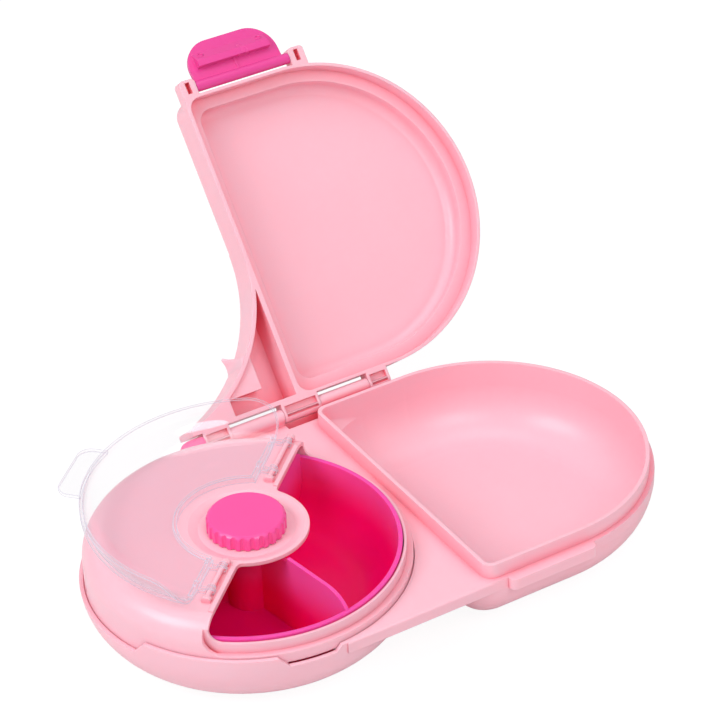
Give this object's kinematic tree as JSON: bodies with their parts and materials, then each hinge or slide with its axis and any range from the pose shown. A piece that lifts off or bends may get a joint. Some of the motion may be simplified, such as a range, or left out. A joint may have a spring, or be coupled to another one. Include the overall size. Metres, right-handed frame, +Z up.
{
  "type": "bento box",
  "caption": "Lunch box with a D-shaped compartment under a hinged, latched lid, beside a round divided tray that a knob turns under a domed cover with a clear flip-over flap.",
  "frame": {"origin": "on the table, on the axis that the round tray turns about", "axes": "+Z up along the tray's axis, +X along the box towards the D compartment, +Y towards the lid hinge"},
  "size_m": [0.261, 0.2652, 0.1579],
  "materials": {
    "shell_pink": "satin polypropylene",
    "hot_pink": "satin",
    "tray_magenta": "gloss",
    "clear_plastic": "clear gloss",
    "pin_steel": "bright",
    "seal_rubber": "matte"
  },
  "bodies": {
    "base": {"base_tray": "shell_pink", "lid_hinge_pin": "hot_pink"},
    "lid": {"lid": "shell_pink", "latch_pin": "shell_pink"},
    "latch": {"latch": "hot_pink"},
    "cover": {"spinner_cover": "shell_pink"},
    "flap": {"clear_flap": "clear_plastic"},
    "spinner": {"spinner_tray": "tray_magenta", "spinner_knob": "hot_pink", "knob_driver": "hot_pink", "driver_screw": "pin_steel", "knob_seal_ring": "seal_rubber"}
  },
  "joints": [
    {"name": "lid_hinge", "type": "hinge", "parent": "base", "child": "lid", "pos_m": [0, 0.076, 0.0305], "axis": [1, 0, 0], "range_deg": [0, 130.4]},
    {"name": "latch_hinge", "type": "hinge", "parent": "lid", "child": "latch", "pos_m": [0, 0.17291, 0.14591], "axis": [1, 0, 0], "range_deg": [0, 102]},
    {"name": "cover_lift", "type": "slide", "parent": "base", "child": "cover", "axis": [0, 0, 1], "range_m": [0, 0.06]},
    {"name": "flap_hinge", "type": "hinge", "parent": "cover", "child": "flap", "pos_m": [0, 0, 0.0455], "axis": [0.7373, 0.6756, 0], "range_deg": [0, 180]},
    {"name": "spinner_turn", "type": "hinge", "parent": "cover", "child": "spinner", "pos_m": [0, 0, 0], "axis": [0, 0, 1], "continuous": true}
  ]
}
